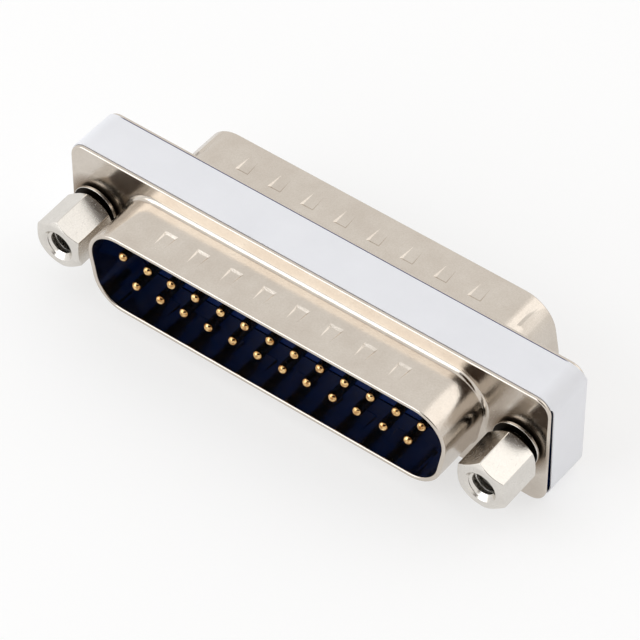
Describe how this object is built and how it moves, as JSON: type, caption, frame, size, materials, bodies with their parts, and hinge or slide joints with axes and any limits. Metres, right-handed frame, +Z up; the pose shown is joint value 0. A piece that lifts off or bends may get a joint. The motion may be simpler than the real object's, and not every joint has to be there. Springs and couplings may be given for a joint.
{
  "type": "d-sub gender changer",
  "caption": "Low-profile male to male D-sub gender changer: two metal D shells back to back, crossed gold pins, hex jackscrews on the front flange.",
  "frame": {"origin": "below the middle of the part, on the plane that the lower edges of its two flanges stand on", "axes": "+X along the length, -Y out of the front mouth, whose flange carries the hex jackscrews, +Y out of the rear mouth, +Z up"},
  "size_m": [0.053, 0.0172, 0.0128],
  "materials": {
    "nickel_sheet": "bright nickel plate",
    "nickel_steel": "bright nickel plate",
    "gold_plate": "polished gold plate",
    "blue_plastic": "satin",
    "white_label": "smooth satin film"
  },
  "bodies": {
    "root": {"front_shell": "nickel_sheet", "rear_shell": "nickel_sheet", "front_insulator": "blue_plastic", "rear_insulator": "blue_plastic", "label": "white_label", "contact_01": "gold_plate", "contact_02": "gold_plate", "contact_03": "gold_plate", "contact_04": "gold_plate", "contact_05": "gold_plate", "contact_06": "gold_plate", "contact_07": "gold_plate", "contact_08": "gold_plate", "contact_09": "gold_plate", "contact_10": "gold_plate", "contact_11": "gold_plate", "contact_12": "gold_plate", "contact_13": "gold_plate", "contact_14": "gold_plate", "contact_15": "gold_plate", "contact_16": "gold_plate", "contact_17": "gold_plate", "contact_18": "gold_plate", "contact_19": "gold_plate", "contact_20": "gold_plate", "contact_21": "gold_plate", "contact_22": "gold_plate", "contact_23": "gold_plate", "contact_24": "gold_plate", "contact_25": "gold_plate", "jackscrew_left": "nickel_steel", "jackscrew_right": "nickel_steel", "lock_washer_left": "nickel_steel", "lock_washer_right": "nickel_steel", "press_nut_left": "nickel_steel", "press_nut_right": "nickel_steel"}
  },
  "joints": []
}
